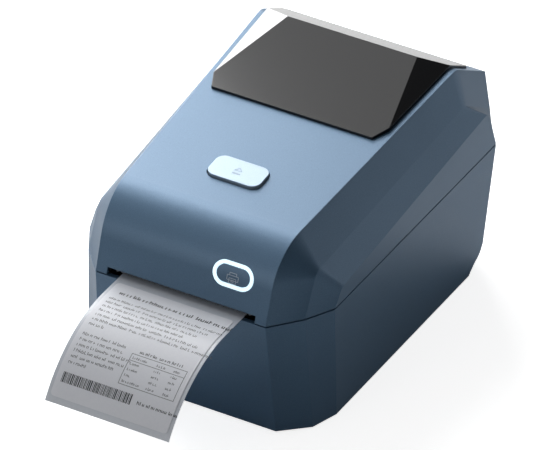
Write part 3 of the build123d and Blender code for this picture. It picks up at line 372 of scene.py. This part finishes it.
def wound(name, base, shade, pitch):
    """Material wound round the axis of the roll, with rings pitch millimetres apart on its ends."""
    material, tree, shader, place = new_material(name)
    axis = centre("label_roll")
    shift = add_node(tree, "ShaderNodeVectorMath", {"operation": "SUBTRACT"}, i0=place, i1=tuple(axis))
    flat = add_node(
        tree, "ShaderNodeVectorMath", {"operation": "MULTIPLY"}, i0=shift.outputs[0], i1=(0, 1, 1)
    )
    radius = add_node(tree, "ShaderNodeVectorMath", {"operation": "LENGTH"}, i0=flat.outputs[0])
    turns = add_node(
        tree, "ShaderNodeMath", {"operation": "MULTIPLY"}, i0=radius.outputs["Value"], i1=1 / (pitch * MM)
    )
    ring = add_node(tree, "ShaderNodeMath", {"operation": "PINGPONG"}, i0=turns.outputs[0], i1=0.5)
    mix = add_node(tree, "ShaderNodeMath", {"operation": "MULTIPLY"}, i0=ring.outputs[0], i1=2.0)
    tone = add_node(
        tree, "ShaderNodeMix", {"data_type": "RGBA"}, i0=mix.outputs[0], i6=colour(base), i7=colour(shade)
    )
    tree.links.new(tone.outputs[2], shader.inputs["Base Color"])
    shader.inputs["Roughness"].default_value = 0.6
    bumped(tree, shader, mix.outputs[0], 0.03)
    return material


# A wound layer is 0.2 mm, too fine to show, so the rings are drawn 0.8 mm apart.
finish(wound("wound_label_paper", "#E4E7EE", "#C9CED8", 0.8), "label_roll")
finish(wound("spiral_cardboard", "#A98B66", "#8F7452", 1.0), "roll_core")

# %% [markdown]
# ## Printed label
#
# The label carries a heading, a few lines of small type, a table and a barcode. None of it has to be
# readable, so each word is a run of short strokes of uneven height: at reading distance the eye
# takes that for type. Thermal print is black in the coating itself, with no thickness. Every
# stroke is therefore a flat quad. They are laid out flat, in millimetres across and down the label,
# and the finished sheet of strokes is then bent onto the label.


# %% Flat strokes
random.seed(7)


def ink(name, base, shade, size, rough):
    """Printed ink whose tone wanders over patches size millimetres across."""
    material, tree, shader, place = new_material(name)
    fade = grain(tree, place, size)
    tone = add_node(
        tree, "ShaderNodeMix", {"data_type": "RGBA"},
        i0=fade.outputs["Fac"], i6=colour(base), i7=colour(shade),
    )
    tree.links.new(tone.outputs[2], shader.inputs["Base Color"])
    shader.inputs["Roughness"].default_value = rough
    return material


def start_mesh(name):
    """Begin an empty mesh object and stay in its edit mode."""
    bpy.ops.object.select_all(action="DESELECT")
    bpy.ops.mesh.primitive_plane_add(size=1)
    piece = bpy.context.object
    piece.name = name
    bpy.ops.object.mode_set(mode="EDIT")
    bpy.ops.mesh.select_all(action="SELECT")
    bpy.ops.mesh.delete(type="VERT")
    return piece


def stroke(x, down, width, length, longest=2.4):
    """Flat quads that cover a rectangle, cut into short lengths so that they can bend."""
    count = max(1, math.ceil(length / longest))
    for index in range(count):
        middle = down + (index + 0.5) * length / count
        bpy.ops.mesh.primitive_plane_add(size=1, location=(x + width / 2, middle, 0))
        bpy.ops.transform.resize(value=(width, length / count, 1))


def word(x, base, letters, size, weight):
    """Run of strokes that reads as a word of small type. Returns where it ends."""
    for _ in range(letters):
        wide = size * random.choice((0.5, 0.62, 0.62, 0.75))
        tall = random.random() < 0.3
        top = base - size * (1.0 if tall else 0.68)
        stroke(x, top, weight, base - top)
        if wide > 0.55 * size:
            bar = random.choice((base - size * 0.68, base - size * 0.38, base - weight))
            stroke(x + weight, bar, wide - 2 * weight, weight * 0.9)
            if random.random() < 0.7:
                stroke(x + wide - weight, base - size * 0.68, weight, size * 0.68)
        x += wide + size * 0.22
    return x


def line(x, end, base, size, weight):
    """Line of words of uneven length from x to about end."""
    while x < end - 2 * size:
        x = word(x, base, random.randint(2, 8), size, weight) + size * 0.45


# %% [markdown]
# The layout follows what any parcel or food label has: heading, paragraph, a column of notes beside a
# small ruled table, and a barcode whose bars take random widths.

# %% Lay out the print
# Height of the type and thickness of its strokes, in millimetres.
HEADING_TYPE = (2.6, 0.52)
SMALL_TYPE = (1.75, 0.24)
BOLD_TYPE = (1.75, 0.34)
TABLE_TYPE = (1.35, 0.22)
MARGIN = -30.0          # left edge of the text, across the label
TABLE_LEFT, TABLE_TOP = -1.0, 46.2
RULE = 0.22             # thickness of the ruled lines
BARS_TOP, BARS_HEIGHT = 66.0, 5.3

heading = start_mesh("label_print")
x = MARGIN + 2.5
for letters in (6, 9, 4, 9):
    x = word(x, 13.4, letters, *HEADING_TYPE) + 1.0
print("heading ends at", round(x, 1), "mm")
for row, end in enumerate((29, 30, 26, 22, 28, 30, -18)):
    line(MARGIN, end, 18.9 + 3.3 * row, *SMALL_TYPE)
for row, end in enumerate((-9, -5, -4, -5, -5, -17)):
    line(MARGIN, end, 45.1 + 3.25 * row, *SMALL_TYPE)
x = 2.5
for letters in (7, 4, 5):
    x = word(x, 45.2, letters, *BOLD_TYPE) + 0.8
for row in range(5):
    for column, letters in ((0.4, (8, 5, 5, 3, 9)[row]), (14, 4), (23.5, 3)):
        word(column, 49.0 + 3.2 * row, letters, *TABLE_TYPE)
for down in (TABLE_TOP, 49.9, 62.8):
    stroke(TABLE_LEFT, down, 31.2, RULE)
for across in (TABLE_LEFT, 30.0):
    stroke(across, TABLE_TOP, RULE, 16.8)
x = MARGIN
while x < 9.0:
    width = random.choice((0.3, 0.3, 0.5, 0.7))
    stroke(x, BARS_TOP, width, BARS_HEIGHT)
    x += width + random.choice((0.25, 0.3, 0.45))
x = 12.5
for letters in (3, 8, 4):
    x = word(x, 70.0, letters, *BOLD_TYPE) + 0.8
bpy.ops.object.mode_set(mode="OBJECT")
print("label print", len(heading.data.polygons), "strokes")

# %% [markdown]
# The label leaves the slot level and then curls down on an even radius, as paper from a tight roll
# does. Points closer to the printer than the bend only slide forward; points past it travel
# round the curl. The print floats a twentieth of a millimetre over the paper, so that the two
# surfaces don't fight for the same place.

# %% Bend the print onto the label
label_top = Vector(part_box("printed_label")[1]).z
FLOAT = 0.05 * MM
curl = 66.6 * MM
bend = front - 16.0 * MM
start = front + 1.0 * MM
axis_height = label_top - curl


def on_label(x, down):
    """Point of the label's face at a place across and down it, in metres."""
    level = start - bend
    if down < level:
        return Vector((x, start - down, label_top + FLOAT))
    angle = (down - level) / curl
    reach = curl + FLOAT
    return Vector((x, bend - reach * math.sin(angle), axis_height + reach * math.cos(angle)))


for point in heading.data.vertices:
    point.co = on_label(point.co.x * MM, point.co.y * MM)
heading.data.flip_normals()
heading.data.materials.append(ink("thermal_black", "#1F2329", "#33383F", 1.5, 0.55))
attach(heading, "base")
print("print from", [round(value / MM, 1) for value in on_label(0, 5 * MM)])

# %% [markdown]
# ## Marks on the two buttons
#
# Both buttons carry a plain symbol. The feed button shows a small outline of a printer with its
# sheet. The opening button has the common lift sign, a triangle over a bar. They are
# pad-printed, so they are drawn as thin flat outlines and pressed onto the button with a
# Shrinkwrap modifier, which also lets the feed symbol follow the curve of the front face.


# %% Outlines
def ring_outline(x, y, width, height, corner, thick):
    """Flat outline of a rounded rectangle in edit mode."""
    bpy.ops.mesh.select_all(action="DESELECT")
    bpy.ops.mesh.primitive_plane_add(size=1, location=(x, y, 0))
    bpy.ops.transform.resize(value=(width, height, 1))
    bpy.ops.mesh.bevel(offset=corner, segments=4, affect="VERTICES")
    bpy.ops.mesh.inset(thickness=thick)
    bpy.ops.mesh.delete(type="FACE")


def press_on(piece, node, origin, lean):
    """Turn a flat mark to the slope of a button, then press it onto that button."""
    turned = Matrix.Translation(origin) @ Matrix.Rotation(lean, 4, "X") @ Matrix.Scale(MM, 4)
    piece.data.transform(turned)
    bpy.ops.object.select_all(action="DESELECT")
    piece.select_set(True)
    bpy.context.view_layer.objects.active = piece
    wrap = piece.modifiers.new("press", "SHRINKWRAP")
    wrap.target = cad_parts[node]
    wrap.wrap_method = "NEAREST_SURFACEPOINT"
    wrap.wrap_mode = "ABOVE_SURFACE"
    wrap.offset = 0.04 * MM
    bpy.ops.object.modifier_apply(modifier=wrap.name)


# %% Feed symbol
feed_mark = start_mesh("feed_symbol")
ring_outline(0, 2.0, 4.2, 1.7, 0.3, 0.34)
ring_outline(0, 0.0, 6.6, 3.0, 0.6, 0.34)
ring_outline(0, -1.6, 4.2, 3.0, 0.3, 0.34)
for down in (-1.3, -2.1):
    stroke(-0.9, down, 1.8, 0.3)
bpy.ops.object.mode_set(mode="OBJECT")
ring_low, ring_high = (Vector(corner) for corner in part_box("light_ring"))
face_middle = Vector(((ring_low.x + ring_high.x) / 2, ring_low.y, (ring_low.z + ring_high.z) / 2))
print("ring middle in mm", [round(value / MM, 1) for value in face_middle])
press_on(feed_mark, "feed_button", face_middle, math.radians(68))
feed_mark.data.materials.append(ink("pale_grey_pad_print", "#B9C6D4", "#C9D4E0", 2.0, 0.5))
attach(feed_mark, "feed_button")

# %% Lift sign
lift_mark = start_mesh("lift_sign")
bpy.ops.mesh.primitive_circle_add(vertices=3, radius=2.2, fill_type="NGON", location=(0, 0.5, 0))
bpy.ops.transform.resize(value=(1.25, 0.8, 1))
bpy.ops.mesh.bevel(offset=0.3, segments=3, affect="VERTICES")
bpy.ops.mesh.inset(thickness=0.34)
bpy.ops.mesh.delete(type="FACE")
ring_outline(0, -2.3, 4.6, 0.9, 0.3, 0.3)
bpy.ops.object.mode_set(mode="OBJECT")
button_low, button_high = (Vector(corner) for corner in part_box("open_button"))
top_middle = Vector((0, (button_low.y + button_high.y) / 2, button_high.z - 0.6 * MM))
press_on(lift_mark, "open_button", top_middle, math.radians(4.9))
lift_mark.data.materials.append(ink("slate_grey_pad_print", "#7E90A3", "#8A9BAD", 2.0, 0.5))
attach(lift_mark, "open_button")

# %% [markdown]
# ## Floor and light
#
# The printer stands on a plain white floor. The floor reflects like matt card, and only to the
# camera it also glows, so that it reads as white while the soft shadow stays.
#
# Four soft boxes light the printer. The key, high on the left, brightens the top. The large one low at
# the left rear is what the left facets and the left bevel of the window mirror, so they turn white. A
# weak one in front keeps the front face blue, and a weak one at the right rear draws out the facets of
# the right side.

# %% Floor
bpy.ops.object.select_all(action="DESELECT")
bpy.ops.mesh.primitive_plane_add(size=6, location=(0, 0, low.z))
floor = bpy.context.object
floor.name = "floor"
card = bpy.data.materials.new("white_card")
card.use_nodes = True
tree = card.node_tree
tree.nodes.clear()
matt = add_node(tree, "ShaderNodeBsdfDiffuse", Color=(0.8, 0.8, 0.8, 1))
seen = add_node(tree, "ShaderNodeLightPath").outputs["Is Camera Ray"]
lift = add_node(tree, "ShaderNodeMath", {"operation": "MULTIPLY"}, i0=seen, i1=0.8)
light = add_node(tree, "ShaderNodeEmission", Color=(1, 1, 1, 1), Strength=lift.outputs[0])
both = add_node(tree, "ShaderNodeAddShader", i0=matt.outputs[0], i1=light.outputs[0])
add_node(tree, "ShaderNodeOutputMaterial", Surface=both.outputs[0])
floor.data.materials.append(card)

# %% [markdown]
# The camera sees plain white all round. What the printer mirrors is white on the left and falls to
# nearly black on the right, and it also darkens towards the floor, so the folds of the housing and
# the window part into light and dark. All other light from the surroundings is weak and even.

# %% World
world = bpy.data.worlds.new("studio")
scene.world = world
world.use_nodes = True
tree = world.node_tree
tree.nodes.clear()
path = add_node(tree, "ShaderNodeLightPath")
direction = add_node(tree, "ShaderNodeTexCoord").outputs["Generated"]
parts = add_node(tree, "ShaderNodeSeparateXYZ", Vector=direction)
side = add_node(tree, "ShaderNodeMapRange", Value=parts.outputs["X"], i1=-0.45, i2=-0.02, i3=1.15, i4=0.04)
rise = add_node(tree, "ShaderNodeMapRange", Value=parts.outputs["Z"], i1=0.0, i2=0.6, i3=0.3, i4=1.0)
mirror = add_node(
    tree, "ShaderNodeMath", {"operation": "MULTIPLY"}, i0=side.outputs[0], i1=rise.outputs[0]
)
soft = add_node(
    tree, "ShaderNodeMix", {"data_type": "FLOAT"},
    i0=path.outputs["Is Glossy Ray"], i2=0.16, i3=mirror.outputs[0],
)
strength = add_node(
    tree, "ShaderNodeMix", {"data_type": "FLOAT"},
    i0=path.outputs["Is Camera Ray"], i2=soft.outputs[0], i3=1.0,
)
sky = add_node(tree, "ShaderNodeBackground", Color=(1, 1, 1, 1), Strength=strength.outputs[0])
add_node(tree, "ShaderNodeOutputWorld", Surface=sky.outputs[0])


# %% Lamps
def soft_box(name, spot, size, power):
    """Square area light that faces the middle of the printer."""
    data = bpy.data.lights.new(name, "AREA")
    data.size = size
    data.energy = power
    lamp = bpy.data.objects.new(name, data)
    lamp.location = spot
    lamp.rotation_euler = (target - Vector(spot)).to_track_quat("-Z", "Y").to_euler()
    scene.collection.objects.link(lamp)
    print(name, power, "W")


soft_box("key", (-0.9, 0.5, 1.1), 0.7, 13)
soft_box("left_rear", (-1.0, 0.95, 0.64), 0.8, 18)
soft_box("front_fill", (-0.5, -1.3, 0.5), 0.6, 1.5)
soft_box("right_rear", (1.0, 1.1, 0.25), 0.9, 2.5)
scene.view_settings.view_transform = "Standard"
